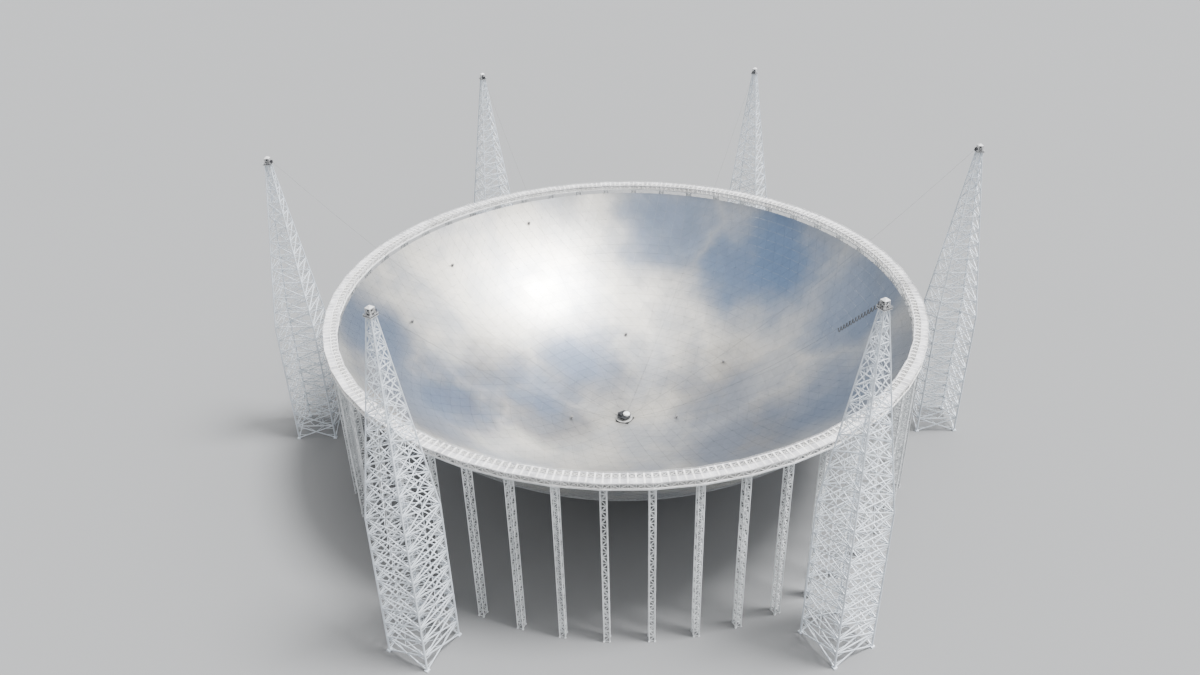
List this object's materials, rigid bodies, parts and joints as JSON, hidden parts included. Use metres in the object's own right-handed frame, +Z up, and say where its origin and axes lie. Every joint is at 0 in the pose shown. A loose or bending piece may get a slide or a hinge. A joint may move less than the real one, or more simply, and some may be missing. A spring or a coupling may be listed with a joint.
{
  "type": "radio telescope dish, 1:20 scale model",
  "caption": "Fixed spherical radio telescope bowl in a ring girder on lattice columns, with lattice towers round it that hold a receiver cabin on steel cables.",
  "frame": {"origin": "on the floor under the middle of the bowl, at the middle of the footprint", "axes": "+Z up, +X towards one of the towers, along the line of two opposite towers"},
  "size_m": [31.54, 28.2344, 14.05],
  "materials": {
    "panel_metal": "satin perforated sheet",
    "white_steel": "matt white paint",
    "grey_steel": "matt light grey paint",
    "rope_steel": "greased steel rope",
    "dark_steel": "satin dark grey paint",
    "dock_concrete": "matt grey coating"
  },
  "bodies": {
    "root": {"reflector_centre": "panel_metal", "reflector_inner_01": "panel_metal", "reflector_inner_02": "panel_metal", "reflector_inner_03": "panel_metal", "reflector_inner_04": "panel_metal", "reflector_inner_05": "panel_metal", "reflector_outer_01": "panel_metal", "reflector_outer_02": "panel_metal", "reflector_outer_03": "panel_metal", "reflector_outer_04": "panel_metal", "reflector_outer_05": "panel_metal", "ring_girder_01": "white_steel", "ring_girder_02": "white_steel", "ring_girder_03": "white_steel", "ring_girder_04": "white_steel", "ring_girder_05": "white_steel", "ring_columns_01": "grey_steel", "ring_columns_02": "grey_steel", "ring_columns_03": "grey_steel", "ring_columns_04": "grey_steel", "ring_columns_05": "grey_steel", "ring_columns_06": "grey_steel", "ring_columns_07": "grey_steel", "ring_columns_08": "grey_steel", "ring_columns_09": "grey_steel", "ring_columns_10": "grey_steel", "tower_01": "grey_steel", "tower_head_01": "white_steel", "support_cable_01": "rope_steel", "tower_02": "grey_steel", "tower_head_02": "white_steel", "support_cable_02": "rope_steel", "tower_03": "grey_steel", "tower_head_03": "white_steel", "support_cable_03": "rope_steel", "tower_04": "grey_steel", "tower_head_04": "white_steel", "support_cable_04": "rope_steel", "tower_05": "grey_steel", "tower_head_05": "white_steel", "support_cable_05": "rope_steel", "tower_06": "grey_steel", "tower_head_06": "white_steel", "support_cable_06": "rope_steel", "cabin_dock": "dock_concrete", "cabin_body": "dark_steel", "cabin_frame": "dark_steel", "cabin_roof": "white_steel", "cabin_hoist": "dark_steel"}
  },
  "joints": []
}
